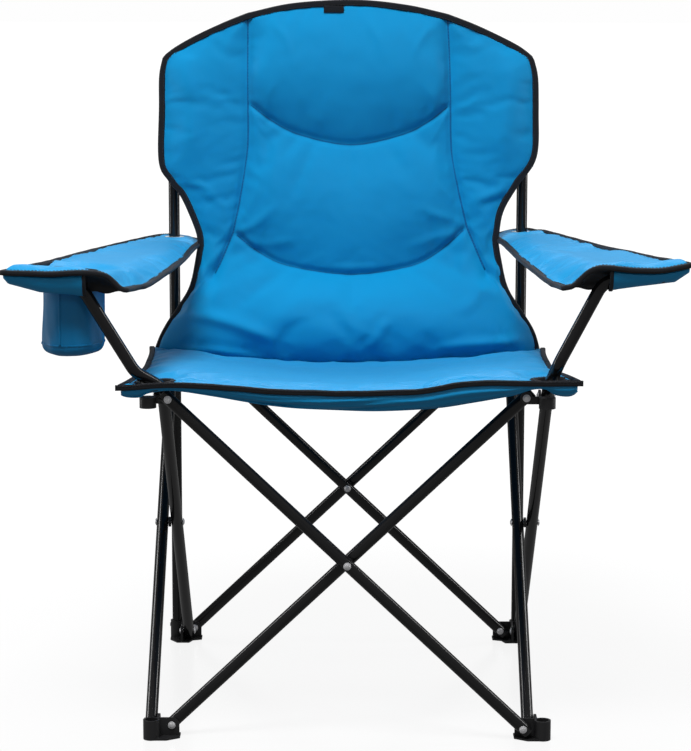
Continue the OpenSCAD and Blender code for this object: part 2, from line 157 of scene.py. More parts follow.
BLUE = (0.0012, 0.240, 0.510)
BLUE_DARK = (0.0008, 0.205, 0.45)
MAT = {
    "cloth_xz": weave("blue_cloth_upright", BLUE, BLUE_DARK, ("X", "Z")),
    "cloth_xy": weave("blue_cloth_flat", BLUE, BLUE_DARK, ("X", "Y")),
    "cloth_dark": weave("blue_cloth_single", BLUE, BLUE_DARK, ("X", "Z"), sheen=0.02),
    # the pouch cloth is the blue made darker: painted shade under the armrest
    "cloth_painted_shade": weave(
        "blue_cloth_pouch_painted_shade", (0.0010, 0.190, 0.440), (0.0008, 0.15, 0.36), ("X", "Z"), sheen=0.02
    ),
    # dark blue for thin lines along the back's seams: painted shadow of the seam grooves
    "seam": weave(
        "blue_cloth_seam_painted_shadow", (0.0006, 0.095, 0.26), (0.0004, 0.07, 0.20), ("X", "Z"), sheen=0.02
    ),
    "lining": weave(
        "black_lining", (0.016, 0.017, 0.02), (0.01, 0.011, 0.013), ("X", "Y"), sheen=0.05
    ),
    "tape": weave(
        "binding_tape", (0.014, 0.015, 0.018), (0.007, 0.007, 0.009), ("X", "Z"),
        pitch=0.0016, rough=0.72, sheen=0.06, bump=0.8,
    ),
    "thread": weave(
        "stitch_thread", (0.012, 0.17, 0.40), (0.006, 0.12, 0.32), ("X", "Z"),
        pitch=0.0006, rough=0.6, bump=0.6,
    ),
    "black_thread": weave(
        "black_stitch_thread", (0.03, 0.03, 0.034), (0.015, 0.015, 0.018), ("X", "Z"),
        pitch=0.0006, rough=0.6, bump=0.6,
    ),
    "tube": paint("black_powder_coat", (0.005, 0.005, 0.0055), 0.10, orange=0.06),
    "plastic": paint(
        "black_moulded_plastic", (0.013, 0.013, 0.014), 0.38, orange=0.6, wear=(0.035, 0.035, 0.037)
    ),
    "rivet": steel("rivet_steel", (0.9, 0.9, 0.92), 0.34),
}

for name, obj in nodes.items():
    if "rivet" in name or "grommet" in name or "eyelets" in name:
        m = MAT["rivet"]
    elif any(word in name for word in ("foot_", "collar", "hub", "plugs", "_cap", "spacer")):
        m = MAT["plastic"]
    elif name.startswith(("back_binding", "seat_binding", "back_label")):
        m = MAT["tape"]
    elif name.startswith(("back_", "seat_", "armrest", "cup")):
        m = MAT["cloth_xz"]
    else:
        m = MAT["tube"]
    obj.data.materials.clear()
    obj.data.materials.append(m)

# ---------------------------------------------------------------- geometry helpers


def coords(obj):
    return np.array([v.co for v in obj.data.vertices])


def normals(obj):
    return np.array([v.normal for v in obj.data.vertices])


def set_coords(obj, co):
    obj.data.vertices.foreach_set("co", co.ravel())
    obj.data.update()


def step(x):
    """Smooth rise from 0 to 1."""
    x = np.clip(x, 0, 1)
    return x * x * (3 - 2 * x)


def unit(v):
    return v / np.maximum(np.linalg.norm(v, axis=-1, keepdims=True), 1e-9)


def line(points, count):
    """Catmull-Rom curve through the points, resampled evenly to count points."""
    p = np.array(points, float)
    p = np.vstack([2 * p[0] - p[1], p, 2 * p[-1] - p[-2]])
    out = []
    for i in range(1, len(p) - 2):
        t = np.linspace(0, 1, 24, endpoint=False)[:, None]
        a, b, c, d = p[i - 1], p[i], p[i + 1], p[i + 2]
        out.append(
            0.5 * (2 * b + (c - a) * t + (2 * a - 5 * b + 4 * c - d) * t**2 + (3 * b - a - 3 * c + d) * t**3)
        )
    q = np.vstack(out + [p[-2:-1]])
    return even(q, count)


def even(q, count):
    """Resamples a polyline to count points an even distance apart."""
    s = np.r_[0, np.cumsum(np.linalg.norm(np.diff(q, axis=0), axis=1))]
    t = np.linspace(0, s[-1], count)
    return np.stack([np.interp(t, s, q[:, k]) for k in range(q.shape[1])], 1)


def coons(left, right, bottom, top):
    """Grid of points [v][u] inside four boundary lines. left and right run upward."""
    nv, nu = len(left), len(bottom)
    u = np.linspace(0, 1, nu)[None, :, None]
    v = np.linspace(0, 1, nv)[:, None, None]
    across = (1 - u) * left[:, None, :] + u * right[:, None, :]
    up = (1 - v) * bottom[None, :, :] + v * top[None, :, :]
    corners = (
        (1 - u) * (1 - v) * bottom[0] + u * (1 - v) * bottom[-1] + (1 - u) * v * top[0] + u * v * top[-1]
    )
    return across + up - corners


def distance(points, line):
    """Distance in the plane from each point to a polyline."""
    best = np.full(len(points), 1e9)
    for a, b in zip(line[:-1], line[1:]):
        d = b - a
        t = np.clip(((points - a) @ d) / max(d @ d, 1e-12), 0, 1)
        best = np.minimum(best, np.linalg.norm(points - a - t[:, None] * d, axis=1))
    return best


def shade_smooth(me):
    me.polygons.foreach_set("use_smooth", [True] * len(me.polygons))


def make(name, verts, faces, material, smooth=True):
    me = bpy.data.meshes.new(name)
    me.from_pydata([tuple(v) for v in verts], [], [tuple(int(i) for i in f) for f in faces])
    me.validate()
    me.update()
    if smooth:
        shade_smooth(me)
    me.materials.append(material)
    o = bpy.data.objects.new(name, me)
    scene.collection.objects.link(o)
    return o


def closed_pad(name, front, back, material):
    """Closed body between two grids [v][u][3] of the same size whose borders coincide."""
    nv, nu = front.shape[:2]
    idx_f = np.arange(nv * nu).reshape(nv, nu)
    idx_b = idx_f.copy()
    inner = np.zeros((nv, nu), bool)
    inner[1:-1, 1:-1] = True
    idx_b[inner] = nv * nu + np.arange(inner.sum())
    verts = np.vstack([front.reshape(-1, 3), back[inner]])
    faces = []
    for j in range(nv - 1):
        for i in range(nu - 1):
            faces.append((idx_f[j, i], idx_f[j, i + 1], idx_f[j + 1, i + 1], idx_f[j + 1, i]))
            faces.append((idx_b[j, i], idx_b[j + 1, i], idx_b[j + 1, i + 1], idx_b[j, i + 1]))
    return make(name, verts, faces, material), idx_f, idx_b


def puff(obj, pinned, pressure, frames, cap, grow):
    """Cloth simulation of a closed pad, pinned along its seams. Applied to the mesh."""
    group = obj.vertex_groups.new(name="pin")
    group.add([int(i) for i in np.flatnonzero(pinned)], 1.0, "REPLACE")
    before = coords(obj)
    mod = obj.modifiers.new("cloth", "CLOTH")
    s = mod.settings
    s.quality = 6
    s.mass = 0.2
    s.use_pressure = True
    s.uniform_pressure_force = pressure
    s.vertex_group_mass = "pin"
    s.tension_stiffness = 15.0
    s.compression_stiffness = 15.0
    s.shear_stiffness = 5.0
    s.bending_stiffness = 0.4
    s.shrink_min = -grow
    s.effector_weights.gravity = 0
    mod.collision_settings.use_self_collision = False
    scene.frame_start, scene.frame_end = 1, frames
    mod.point_cache.frame_start, mod.point_cache.frame_end = 1, frames
    for f in range(1, frames + 1):
        scene.frame_set(f)
    dg = bpy.context.evaluated_depsgraph_get()
    after = np.array([v.co for v in obj.evaluated_get(dg).data.vertices])
    obj.modifiers.remove(mod)
    scene.frame_set(1)
    move = after - before
    length = np.linalg.norm(move, axis=1)
    limit = cap * np.tanh(length / cap) / np.maximum(length, 1e-9)
    set_coords(obj, before + move * limit[:, None])


def half_thickness(seam_distance, at_seam, more, reach, rows, columns):
    """Half a pad's thickness on its grid: thin at seams, fuller away from them, none at the border."""
    half = (at_seam + more * (1 - np.exp(-seam_distance / reach))).reshape(rows, columns, 1)
    half[[0, -1]] = 0
    half[:, [0, -1]] = 0
    return half


def pin(obj, idx_f, idx_b, grid):
    """Marks the vertices on a pad's border and where grid is true, on both faces."""
    grid[[0, -1]] = True
    grid[:, [0, -1]] = True
    pinned = np.zeros(len(obj.data.vertices), bool)
    pinned[idx_f[grid]] = True
    pinned[idx_b[grid]] = True
    return pinned


def apply_modifier(obj, mod):
    dg = bpy.context.evaluated_depsgraph_get()
    me = bpy.data.meshes.new_from_object(obj.evaluated_get(dg))
    obj.modifiers.remove(mod)
    obj.data = me


def subdivide(obj):
    mod = obj.modifiers.new("fine", "SUBSURF")
    mod.levels = mod.render_levels = 1
    apply_modifier(obj, mod)
    shade_smooth(obj.data)


def cut_hole(obj, x, y, z, radius, depth, sides):
    """Cuts a round upright hole through a pad."""
    bpy.ops.mesh.primitive_cylinder_add(vertices=sides, radius=radius, depth=depth, location=(x, y, z))
    cutter = bpy.context.object
    mod = obj.modifiers.new("hole", "BOOLEAN")
    mod.object = cutter
    mod.solver = "EXACT"
    apply_modifier(obj, mod)
    bpy.data.objects.remove(cutter, do_unlink=True)


def face_outward(obj):
    bm = bmesh.new()
    bm.from_mesh(obj.data)
    bmesh.ops.recalc_face_normals(bm, faces=bm.faces)
    bm.to_mesh(obj.data)
    bm.free()


def tree_of(obj):
    return BVHTree.FromObject(obj, bpy.context.evaluated_depsgraph_get())


def drop_on(tree, points, direction, lift):
    """Moves points onto a surface seen along direction. Returns points and normals."""
    out, facing = [], []
    d = Vector(direction)
    for p in points:
        hit, normal, _, _ = tree.ray_cast(Vector(p) - d * 0.1, d)
        if hit is None:
            hit, normal, _, _ = tree.find_nearest(Vector(p))
        out.append(np.array(hit) - np.array(d) * lift)
        facing.append(np.array(normal))
    return np.array(out), np.array(facing)


def frames_along(path, hint):
    """Two normals at each point of a path. The first stays near hint."""
    t = unit(np.gradient(path, axis=0))
    h = np.broadcast_to(np.array(hint, float), path.shape)
    a = unit(h - (h * t).sum(1)[:, None] * t)
    return a, np.cross(t, a)


def quads(rings, count, wrap=False):
    """Faces between rows of count vertices each, numbered row by row."""
    faces = []
    for i in range(rings if wrap else rings - 1):
        j = (i + 1) % rings
        for s in range(count):
            s2 = (s + 1) % count
            faces.append((i * count + s, i * count + s2, j * count + s2, j * count + s))
    return faces


def sweep(name, path, section, hint, material, closed=False):
    """Sweeps a closed section, a list of (along hint, along the other normal), on a path."""
    path = np.array(path, float)
    if closed:
        wrap = np.vstack([path[-1], path, path[0]])
        h = np.array(hint, float)
        if h.ndim == 2:
            h = np.vstack([h[-1], h, h[0]])
        a, b = [x[1:-1] for x in frames_along(wrap, h)]
    else:
        a, b = frames_along(path, hint)
    sec = np.array(section, float)
    rings = path[:, None, :] + sec[None, :, 0:1] * a[:, None, :] + sec[None, :, 1:2] * b[:, None, :]
    n, k = rings.shape[:2]
    faces = quads(n, k, closed)
    if not closed:
        faces.append(tuple(range(k - 1, -1, -1)))
        faces.append(tuple((n - 1) * k + s for s in range(k)))
    return make(name, rings.reshape(-1, 3), faces, material)


def rounded(w, h, r=None, steps=4):
    """Rounded rectangle section, w along the first normal and h along the second."""
    r = min(w, h) / 2 * 0.98 if r is None else r
    out = []
    for sx, sy, a0 in ((1, 1, 0), (-1, 1, 90), (-1, -1, 180), (1, -1, 270)):
        cx, cy = sx * (w / 2 - r), sy * (h / 2 - r)
        for i in range(steps + 1):
            a = math.radians(a0 + 90 * i / steps)
            out.append((cx + r * math.cos(a), cy + r * math.sin(a)))
    return out


def join(name, objs):
    """One object from several, keeping their materials."""
    with bpy.context.temp_override(
        active_object=objs[0], object=objs[0], selected_objects=objs, selected_editable_objects=objs
    ):
        bpy.ops.object.join()
    objs[0].name = name
    return objs[0]


def stitches(name, path, normal, material, length=0.0032, gap=0.0013, width=0.0008, lift=0.0004):
    """A row of separate stitches lying on a surface along a path."""
    path = np.array(path, float)
    n = np.broadcast_to(np.array(normal, float), path.shape)
    s = np.r_[0, np.cumsum(np.linalg.norm(np.diff(path, axis=0), axis=1))]
    verts, faces = [], []
    at = 0.0
    profile = rounded(width, width * 0.8, steps=1)
    while at + length < s[-1]:
        ts = np.linspace(at, at + length, 4)
        p = np.stack([np.interp(ts, s, path[:, k]) for k in range(3)], 1)
        m = unit(np.stack([np.interp(ts, s, n[:, k]) for k in range(3)], 1))
        side = np.cross(unit(p[-1] - p[0]), m)
        arch = np.array([-0.3, 1, 1, -0.3]) * lift
        base = len(verts)
        for q, mm, sd, a in zip(p, m, side, arch):
            for x, y in profile:
                verts.append(q + mm * (a + y) + sd * x)
        k = len(profile)
        faces += [tuple(base + c for c in quad) for quad in quads(4, k)]
        faces.append(tuple(base + c for c in range(k - 1, -1, -1)))
        faces.append(tuple(base + 3 * k + c for c in range(k)))
        at += length + gap
    return make(name, verts, faces, material)


def wobble(p, scale, seed=0.0):
    """Smooth repeatable noise in -1..1 at each point."""
    return np.array([noise.noise(Vector(q) * scale + Vector((seed, 1.7 * seed, 0))) for q in p])


def press(obj, rows, plane, height_axis, ok, sign, bend=0.0):
    """Soft folds in a pad, raised along height_axis in the direction sign where ok is true.
    Each row is start and end in the plane's two axes, width and height. bend makes them wavy."""
    co = coords(obj)
    lift = np.zeros(len(co))
    for start, end, width, height in rows:
        a, d = np.array(start), np.array(end) - start
        length = np.linalg.norm(d)
        d /= length
        rel = co[:, plane] - a
        along = rel @ d / length
        side = rel @ np.array((-d[1], d[0])) + bend * np.sin(along * 5 + a[0] * 40)
        taper = step(along / 0.25) * step((1 - along) / 0.4)
        lift += height * np.exp(-((side / width) ** 2)) * taper
    co[ok, height_axis] += sign * lift[ok]
    set_coords(obj, co)


def crease(obj, lines, plane, height_axis, depth, width, ok):
    """Presses a stitched groove into a pad along lines given in the plane's two axes."""
    co = coords(obj)
    d = np.min([distance(co[:, plane], s) for s in lines], 0)
    co[:, height_axis] += depth * np.exp(-((d / width) ** 2)) * ok
    set_coords(obj, co)


XY, XZ = [0, 1], [0, 2]
POST = 0.2555  # where the posts stand, in X and in Y

# ---------------------------------------------------------------- the back

CAM = np.array((0.0, -3.384, 0.980))  # the camera's place
SLOPE = math.tan(math.radians(3))  # the back's lean
BACK_FOOT_Z = 0.417


def on_back(xz):
    """Puts (x, z) points of the leaning back plane into space, and moves them along the line of
    sight: lumbar part and panel middles towards the camera, the hollow between them away."""
    xz = np.atleast_2d(np.array(xz, float))
    x, z = xz[:, 0], xz[:, 1]
    p = np.stack([x, 0.205 + (z - BACK_FOOT_Z) * SLOPE, z], 1)
    across = 1 - np.clip(np.abs(x) / 0.285, 0, 1) ** 2
    belly = step((0.590 - z) / 0.138) * (0.25 + 0.75 * step((z - BACK_FOOT_Z) / 0.036))
    forward = belly * (0.006 + 0.034 * across)
    # the cloth is drawn in just under the lower seam, which runs at this height in the middle
    tuck = np.exp(-(((z - 0.574 - 0.42 * x**2) / 0.020) ** 2)) * step((0.19 - np.abs(x)) / 0.03)
    inner = across * step((0.158 - np.abs(x)) / 0.035)
    # the upper and the middle panel stand out between the upright seams
    swell = 0.0155 * np.exp(-(((z - 0.842) / 0.052) ** 2))
    swell += 0.0085 * np.exp(-(((z - 0.680) / 0.052) ** 2))
    forward = forward - 0.0035 * tuck + swell * inner
    hollow = 0.010 * across * step((z - 0.5) / 0.2) * step((0.96 - z) / 0.1)
    ray = p - CAM
    ray /= ray[:, 1:2]
    return p + ray * (hollow - forward)[:, None]


def rows_of(patches):
    """Joins a 3 x 3 set of grids [row][column] that share their border points."""
    rows = []
    for r, row in enumerate(patches):
        joined = np.concatenate([g if c == 0 else g[:, 1:] for c, g in enumerate(row)], 1)
        rows.append(joined if r == 0 else joined[1:])
    return np.concatenate(rows, 0)


BACK_COLS = (17, 45, 17)
BACK_ROWS = (29, 33, 19)

left_edge = [
    [(-0.288, 0.421), (-0.276, 0.458), (-0.264, 0.482), (-0.2465, 0.508), (-0.228, 0.541), (-0.2165, 0.598)],
    [(-0.2165, 0.598), (-0.220, 0.620), (-0.240, 0.667), (-0.259, 0.692), (-0.273, 0.720), (-0.272, 0.80)],
    [(-0.272, 0.80), (-0.2715, 0.842), (-0.2662, 0.8688)],
]
left_seam = [
    [(-0.215, 0.424), (-0.213, 0.48), (-0.205, 0.529), (-0.185, 0.574), (-0.167, 0.617)],
    [(-0.167, 0.617), (-0.157, 0.665), (-0.146, 0.737), (-0.145, 0.804)],
    [(-0.145, 0.804), (-0.145, 0.87), (-0.145, 0.931)],
]
right_seam = [
    [(0.213, 0.424), (0.214, 0.49), (0.205, 0.547), (0.190, 0.585), (0.173, 0.625)],
    [(0.173, 0.625), (0.160, 0.68), (0.150, 0.736), (0.148, 0.802)],
    [(0.148, 0.802), (0.146, 0.87), (0.143, 0.930)],
]
right_edge = [
    [(0.285, 0.420), (0.273, 0.468), (0.256, 0.498), (0.232, 0.536), (0.221, 0.581), (0.217, 0.606)],
    [(0.217, 0.606), (0.224, 0.648), (0.246, 0.687), (0.272, 0.728), (0.274, 0.80)],
    [(0.274, 0.80), (0.2725, 0.842), (0.2660, 0.8690)],
]
levels = [
    [
        [(-0.288, 0.421), (-0.25, 0.423), (-0.215, 0.424)],
        [(-0.215, 0.424), (-0.1, 0.417), (0.0, 0.414), (0.1, 0.417), (0.213, 0.424)],
        [(0.213, 0.424), (0.25, 0.423), (0.285, 0.420)],
    ],
    [
        [(-0.2165, 0.598), (-0.19, 0.605), (-0.167, 0.617)],
        [
            (-0.167, 0.617), (-0.128, 0.587), (-0.085, 0.568), (0.004, 0.556), (0.090, 0.568),
            (0.133, 0.590), (0.173, 0.625),
        ],
        [(0.173, 0.625), (0.196, 0.612), (0.217, 0.606)],
    ],
    [
        [(-0.272, 0.80), (-0.21, 0.801), (-0.145, 0.804)],
        [
            (-0.145, 0.804), (-0.110, 0.778), (-0.069, 0.758), (0.004, 0.744), (0.076, 0.758),
            (0.114, 0.776), (0.148, 0.802),
        ],
        [(0.148, 0.802), (0.21, 0.801), (0.274, 0.80)],
    ],
    [
        [(-0.2662, 0.8688), (-0.250, 0.8815), (-0.219, 0.899), (-0.180, 0.917), (-0.145, 0.931)],
        [(-0.145, 0.931), (-0.079, 0.945), (0.009, 0.950), (0.083, 0.943), (0.143, 0.930)],
        [(0.143, 0.930), (0.185, 0.914), (0.230, 0.893), (0.252, 0.8805), (0.2660, 0.8690)],
    ],
]
columns = [left_edge, left_seam, right_seam, right_edge]


def patch(r, c):
    n_v, n_u = BACK_ROWS[r], BACK_COLS[c]
    left, right = line(columns[c][r], n_v), line(columns[c + 1][r], n_v)
    return coons(left, right, line(levels[r][c], n_u), line(levels[r + 1][c], n_u))


back_xz = rows_of([[patch(r, c) for c in range(3)] for r in range(3)])
nv, nu = back_xz.shape[:2]
flat_xz = back_xz.reshape(-1, 2)
c1, c2 = BACK_COLS[0] - 1, BACK_COLS[0] + BACK_COLS[1] - 2
r1, r2 = BACK_ROWS[0] - 1, BACK_ROWS[0] + BACK_ROWS[1] - 2
outline_xz = np.vstack(
    [back_xz[:, 0], back_xz[-1, 1:], back_xz[-2::-1, -1], back_xz[0, -2:0:-1]]
)
seams_xz = [
    back_xz[18:, c1], back_xz[18:, c2], back_xz[r1, c1 : c2 + 1], back_xz[r2, c1 : c2 + 1]
]
d_edge = distance(flat_xz, np.vstack([outline_xz, outline_xz[:1]]))
d_seam = np.min([distance(flat_xz, s) for s in seams_xz], 0)
mid = on_back(flat_xz).reshape(nv, nu, 3)
ahead = np.array((0, -1, 0.0))
d_all = np.minimum(d_edge, d_seam)
half = half_thickness(d_all, 0.0014, 0.0042, 0.014, nv, nu)
pad, idx_f, idx_b = closed_pad("back_pad", mid + half * ahead, mid - half * ahead * 0.7, MAT["cloth_xz"])
pinned = pin(pad, idx_f, idx_b, (d_all < 0.0012).reshape(nv, nu))
puff(pad, pinned, 7.0, 20, 0.019, grow=0.010)
subdivide(pad)
crease(pad, seams_xz, XZ, 1, 0.0028, 0.0042, normals(pad)[:, 1] < 0.2)
press(
    pad,
    [
        # folds that run into the corners of the lower seam
        ((-0.170, 0.612), (-0.095, 0.660), 0.006, 0.0022),
        ((-0.168, 0.622), (-0.120, 0.700), 0.006, 0.0018),
        ((-0.164, 0.606), (-0.070, 0.600), 0.007, 0.0016),
        ((-0.172, 0.604), (-0.235, 0.520), 0.008, 0.0030),
        ((0.176, 0.620), (0.100, 0.662), 0.006, 0.0022),
        ((0.172, 0.630), (0.128, 0.705), 0.006, 0.0018),
        ((0.168, 0.612), (0.080, 0.603), 0.007, 0.0016),
        ((0.178, 0.612), (0.240, 0.530), 0.008, 0.0030),
        # folds below the lower seam, towards the seat
        ((-0.150, 0.585), (-0.215, 0.505), 0.010, 0.0034),
        ((-0.250, 0.508), (-0.080, 0.462), 0.010, 0.0066),
        ((-0.262, 0.452), (-0.095, 0.430), 0.007, 0.0052),
        ((-0.050, 0.540), (-0.120, 0.476), 0.013, 0.0022),
        ((0.152, 0.590), (0.222, 0.512), 0.010, 0.0034),
        ((0.262, 0.470), (0.110, 0.444), 0.009, 0.0058),
        ((0.060, 0.500), (0.010, 0.434), 0.008, 0.0026),
        ((0.205, 0.545), (0.150, 0.500), 0.012, 0.0026),
        # folds in the side wings and under the top edge
        ((-0.240, 0.892), (-0.222, 0.690), 0.021, 0.0050),
        ((-0.150, 0.800), (-0.200, 0.818), 0.005, 0.0012),
        ((-0.235, 0.690), (-0.165, 0.650), 0.007, 0.0018),
        ((0.240, 0.892), (0.222, 0.690), 0.021, 0.0050),
        ((0.152, 0.798), (0.202, 0.816), 0.005, 0.0012),
        ((0.235, 0.690), (0.172, 0.655), 0.007, 0.0018),
        ((-0.110, 0.925), (-0.080, 0.870), 0.006, 0.0014),
        ((0.030, 0.930), (0.050, 0.865), 0.006, 0.0012),
        ((0.115, 0.920), (0.095, 0.860), 0.006, 0.0014),
        ((-0.130, 0.775), (-0.100, 0.840), 0.006, 0.0014),
        ((0.132, 0.775), (0.105, 0.842), 0.006, 0.0014),
    ],
    XZ, 1, normals(pad)[:, 1] < 0.2, -1, bend=0.004,
)

# slight unevenness of hand-sewn padding
for amount, scale, seed in ((0.0010, 26.0, 3.0), (0.0004, 70.0, 5.0)):
    co = coords(pad)
    co[:, 1] += amount * wobble(co, scale, seed)
    set_coords(pad, co)


def settle(obj, body, nodes_replaced, slot, axis=(1, 0, 0), anchor=(-POST, POST, 0.6), keep=0.33):
    """Attaches a soft piece to the body it rides on and hides the parts that it stands for. slot, axis, anchor and
    keep are not used.
    """
    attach(obj, body)
    if nodes_replaced:
        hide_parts(*nodes_replaced)
    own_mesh(obj)
    return obj


# binding round the back
rim = even(np.vstack([outline_xz, outline_xz[:1]]), 361)[:-1]
rim3 = on_back(rim)
rim3[:, 1] += 0.0006 * wobble(rim3, 30, 2.0)
centre = np.array((0, 0, 0.70))
tangent = unit(np.roll(rim3, -1, 0) - np.roll(rim3, 1, 0))
inward = unit(np.cross(tangent, (0, 1, 0)))
if ((centre - rim3[0]) @ inward[0]) < 0:
    inward = -inward
tape_section = [(x + 0.0026, y) for x, y in rounded(0.0095, 0.0078, 0.0024)]
binding = sweep("back_binding_tape", rim3, tape_section, inward, MAT["tape"], closed=True)
ridge = stitches(
    "back_binding_stitches",
    np.vstack([rim3, rim3[:1]]) + np.vstack([inward, inward[:1]]) * 0.0055 + np.array((0, -0.0040, 0)),
    (0, -1, 0), MAT["black_thread"],
)
binding = join("back_binding_tape", [binding, ridge])

# plain tag sewn under the top binding
tag_path = on_back([(-0.021, 0.9432), (-0.021, 0.9334)]) + np.array((0, -0.0066, 0))
tag = sweep(
    "back_tag", even(tag_path, 9), rounded(0.029, 0.0011, 0.0005), (1, 0, 0), MAT["tape"],
)

# stitched seams in the back, each with a thin dark blue line along it: painted shadow of the seam's groove
tree = tree_of(pad)
seam_objs = []
for k, s in enumerate(seams_xz):
    p3 = on_back(even(s, 60))
    p3, _ = drop_on(tree, p3, (0, 1, 0), 0.0001)
    seam_objs.append(stitches(f"seam_{k}", p3[2:-2], (0, -1, 0), MAT["thread"], lift=0.0005))
    seam_shadow_section = rounded(0.0006, 0.0024 if k < 2 else 0.0016, 0.0002)
    seam_objs.append(sweep(f"seam_shadow_line_{k}", p3[1:-1], seam_shadow_section, (0, -1, 0), MAT["seam"]))
back_seams = join("back_seam_stitches", seam_objs)

settle(pad, "rear_left_frame", ["back_panel"], "blue_cloth")
settle(binding, "rear_left_frame", ["back_binding"], "binding")
settle(back_seams, "rear_left_frame", [], "blue_cloth")
settle(tag, "rear_left_frame", ["back_label"], "binding")


def declare_sheet(obj, width, length):
    """Works out a cloth piece's area, half its mesh, which has two faces, kept within 0.31 and 1 of the rectangle
    of its cut size; nothing is done with it."""
    area = sum(p.area for p in obj.data.polygons) / 2
    box = width * length
    area = max(0.31 * box, min(area, box))


declare_sheet(binding, 0.034, 2.60)
declare_sheet(tag, 0.029, 0.0105)


def post_sleeve(side, body):
    """A cloth tube round a post, with two flattened tails that run back to the panel."""
    label = "left" if side < 0 else "right"
    turn = np.linspace(math.radians(-62), math.radians(242), 26)
    loops = []
    for z in np.linspace(0.712, 0.866, 41):
        close = step((z - 0.857) / 0.010)
        r = 0.0106 * (1 - 0.5 * close) + 0.0005 * math.sin(z * 190 + side) + 0.0004 * math.sin(z * 73)
        ring = [(POST * side + r * math.cos(a), POST + r * math.sin(a)) for a in turn]
        y_back = float(on_back([(0.24 * side, z)])[0, 1]) + 0.005
        right_tail = [(POST * side + 0.014, y_back), (POST * side + 0.0135, y_back + 0.004)]
        left_tail = [(POST * side - 0.0135, y_back + 0.004), (POST * side - 0.014, y_back)]
        outer = np.array(right_tail + ring + left_tail)
        d = unit(np.gradient(outer, axis=0))
        inner = outer - np.stack([d[:, 1], -d[:, 0]], 1) * 0.0011
        loop = np.vstack([outer, inner[::-1]])
        loops.append(np.c_[loop, np.full(len(loop), z)])
    loops = np.array(loops)
    n, k = loops.shape[:2]
    faces = quads(n, k)
    off = (n - 1) * k
    for s in range(k // 2 - 1):
        faces.append((s, k - 1 - s, k - 2 - s, s + 1))
        faces.append((off + s, off + s + 1, off + k - 2 - s, off + k - 1 - s))
    o = make(f"back_sleeve_{label}_cloth", loops.reshape(-1, 3), faces, MAT["cloth_dark"])
    face_outward(o)
    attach(o, body)
    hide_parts(f"back_sleeve_{label}")
    declare_sheet(o, 0.085, 0.170)


post_sleeve(-1, "rear_left_frame")
post_sleeve(1, "rear_right_frame")

# ---------------------------------------------------------------- the seat

SPLIT_Y = -0.0175  # where the seat's two halves meet
front_line = [
    (-0.291, -0.273, 0.4675), (-0.255, -0.273, 0.4700), (-0.213, -0.273, 0.4715), (-0.165, -0.273, 0.4685),
    (-0.09, -0.274, 0.4635), (0.003, -0.274, 0.4610), (0.09, -0.274, 0.4640), (0.140, -0.273, 0.4720),
    (0.175, -0.273, 0.4750), (0.235, -0.273, 0.4740), (0.295, -0.273, 0.4745),
]
rear_line = [
    (-0.286, 0.203, 0.4500), (-0.20, 0.201, 0.4340), (-0.10, 0.198, 0.4255), (0.0, 0.197, 0.4230),
    (0.10, 0.198, 0.4255), (0.20, 0.201, 0.4330), (0.285, 0.203, 0.4490),
]
left_line = [
    (-0.291, -0.273, 0.4675), (-0.281, -0.225, 0.4672), (-0.273, -0.160, 0.4660), (-0.271, -0.090, 0.4635),
    (-0.273, SPLIT_Y, 0.4600), (-0.278, 0.10, 0.4545), (-0.286, 0.203, 0.4500),
]
right_line = [
    (0.295, -0.273, 0.4745), (0.285, -0.225, 0.4735), (0.276, -0.160, 0.4690), (0.272, -0.090, 0.4650),
    (0.274, SPLIT_Y, 0.4600), (0.278, 0.10, 0.4535), (0.285, 0.203, 0.4490),
]
SEAT_NU, SEAT_NV = 81, 69
seat_mid = coons(
    line(left_line, SEAT_NV), line(right_line, SEAT_NV), line(front_line, SEAT_NU), line(rear_line, SEAT_NU)
)
row_split = int(np.argmin(np.abs(seat_mid[:, SEAT_NU // 2, 1] - SPLIT_Y)))
u = np.linspace(-1, 1, SEAT_NU)[None, :]
v = np.linspace(0, 1, SEAT_NV)[:, None]
seat_mid[:, :, 2] -= 0.008 * (1 - u**2) * step(v / 0.25) * step((1 - v) / 0.2)
row_y = seat_mid[row_split, :, 1].copy()
band = np.exp(-(((np.arange(SEAT_NV) - row_split) / 6.0) ** 2))
seat_mid[:, :, 1] += band[:, None] * (SPLIT_Y - row_y)[None, :]
EYES = ((-0.247, -0.2465), (0.260, -0.2465))  # holes for the arm tubes
EYE_R = 0.0232
flat = seat_mid.reshape(-1, 3)
edges = (seat_mid[0], seat_mid[-1], seat_mid[:, 0], seat_mid[:, -1])
d_edge = np.min([distance(flat[:, :2], e[:, :2]) for e in edges], 0)
roll = [(-0.225, -0.240), (-0.1, -0.236), (0.0, -0.235), (0.1, -0.236), (0.232, -0.240)]
roll_line = line(roll, 60)
d_roll = distance(flat[:, :2], roll_line)
to_eye = np.array([np.linalg.norm(flat[:, :2] - e, axis=1) for e in EYES])
d_eye = np.min(np.abs(to_eye - EYE_R - 0.002), 0)
in_eye = np.min(to_eye, 0) < EYE_R + 0.006
d_all = np.minimum.reduce([d_edge, d_roll, np.where(in_eye, 0, d_eye)])
half = half_thickness(d_all, 0.0013, 0.0034, 0.012, SEAT_NV, SEAT_NU)
up = np.array((0, 0, 1.0))
seat, idx_f, idx_b = closed_pad("seat_pad", seat_mid + half * up, seat_mid - half * up, MAT["cloth_xy"])
pinned = pin(seat, idx_f, idx_b, ((d_roll < 0.0030) | in_eye).reshape(SEAT_NV, SEAT_NU))
puff(seat, pinned, 3.0, 20, 0.0075, grow=0.03)
co = coords(seat)
below = np.zeros(len(co), bool)
below[idx_b.ravel()] = True
below[idx_f.ravel()] = False
co[:, 2] += np.where(below, -0.002 * np.exp(-(((co[:, 1] + 0.24) / 0.03) ** 2)), 0)
set_coords(seat, co)
subdivide(seat)
crease(seat, [roll_line], XY, 2, -0.0018, 0.004, normals(seat)[:, 2] > 0)
